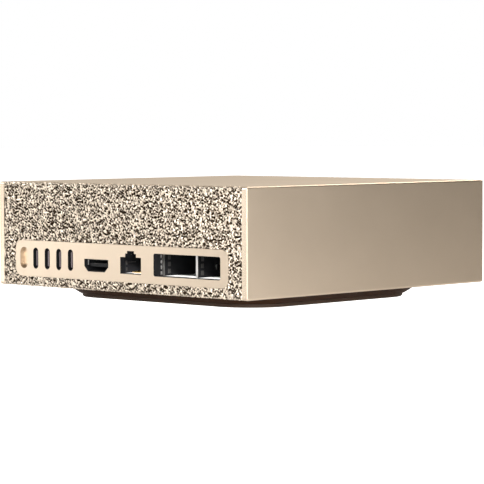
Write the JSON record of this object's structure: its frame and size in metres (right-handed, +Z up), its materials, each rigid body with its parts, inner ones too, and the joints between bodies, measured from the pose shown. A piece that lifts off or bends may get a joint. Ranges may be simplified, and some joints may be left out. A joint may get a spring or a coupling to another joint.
{
  "type": "mini pc",
  "caption": "Flat square mini pc: champagne metal wrap with open-cell foam end panels, a rear plate of ports with a power button, and a dark lift-off base.",
  "frame": {"origin": "centre of the foot's underside, on the surface it stands on", "axes": "+Z up, ports face +Y, the plain front faces -Y, +X is to the left when the ports are looked at"},
  "size_m": [0.15, 0.15, 0.0505],
  "materials": {
    "champagne_metal": "fine bead-blasted anodised, satin",
    "foam_metal": "open-cell foam with champagne struts",
    "base_plastic": "matte dark brown",
    "foot_rubber": "soft matte dark brown",
    "magnet_metal": "nickel-plated",
    "steel": "plain",
    "black_steel": "black oxide",
    "port_metal": "nickel-plated sheet",
    "port_plastic": "matte black",
    "contact_gold": "gold-plated",
    "brass": "turned",
    "board_laminate": "solder mask over fibre laminate",
    "chip_resin": "moulded resin",
    "silicon": "polished die",
    "ferrite": "pressed powder",
    "copper": "plain copper",
    "fin_metal": "plain sheet",
    "fan_plastic": "glass-filled black",
    "lead_sheath": "smooth sheath"
  },
  "bodies": {
    "case": {"shell": "champagne_metal", "io_plate": "champagne_metal", "bottom_plate": "champagne_metal", "rear_foam_panel": "foam_metal", "front_foam_panel": "foam_metal", "catch_discs": "steel", "board_screws": "steel", "card_screws": "steel", "bracket_screws": "steel", "cooler_backplate": "steel", "coin_cell": "steel", "bottom_screws": "black_steel", "cooler_screws": "black_steel", "fan_screws": "black_steel", "fan_bracket": "black_steel", "usb_c_shell_1": "port_metal", "usb_c_shell_2": "port_metal", "usb_c_shell_3": "port_metal", "usb_c_shell_4": "port_metal", "hdmi_shell": "port_metal", "ethernet_shield": "port_metal", "qsfp_cage": "port_metal", "usb_c_tongues": "port_plastic", "hdmi_tongue": "port_plastic", "ethernet_body": "port_plastic", "qsfp_connector_left": "port_plastic", "qsfp_connector_right": "port_plastic", "ssd_socket": "port_plastic", "wifi_socket": "port_plastic", "coin_cell_holder": "port_plastic", "power_switch": "port_plastic", "ethernet_contacts": "contact_gold", "antenna_left": "contact_gold", "antenna_right": "contact_gold", "board_standoffs": "brass", "mainboard": "board_laminate", "processor_substrate": "board_laminate", "ssd_card": "board_laminate", "wifi_card": "board_laminate", "memory_packages": "chip_resin", "network_chip": "chip_resin", "processor_dies": "silicon", "power_chokes": "ferrite", "cold_plate": "copper", "heat_pipes": "copper", "fan_left_stator": "copper", "fan_right_stator": "copper", "fin_stack": "fin_metal", "fan_left_housing": "fan_plastic", "fan_left_cover": "fan_plastic", "fan_right_housing": "fan_plastic", "fan_right_cover": "fan_plastic", "antenna_leads": "lead_sheath"},
    "button": {"power_button": "champagne_metal"},
    "base": {"base_plate": "base_plastic", "foot_pad": "foot_rubber", "base_magnets": "magnet_metal"},
    "fan_left": {"fan_left_impeller": "fan_plastic"},
    "fan_right": {"fan_right_impeller": "fan_plastic"}
  },
  "joints": [
    {"name": "button_press", "type": "slide", "parent": "case", "child": "button", "axis": [0, -1, 0], "range_m": [0, 0.0008], "stiffness_N_per_m": 2000, "springref_m": -0.0003},
    {"name": "base_pull", "type": "slide", "parent": "case", "child": "base", "axis": [0, 0, -1], "range_m": [0, 0.012]},
    {"name": "fan_left_spin", "type": "hinge", "parent": "case", "child": "fan_left", "pos_m": [-0.0315, -0.031, 0.032], "axis": [0, 0, 1], "continuous": true},
    {"name": "fan_right_spin", "type": "hinge", "parent": "case", "child": "fan_right", "pos_m": [0.0315, -0.031, 0.032], "axis": [0, 0, 1], "continuous": true}
  ]
}
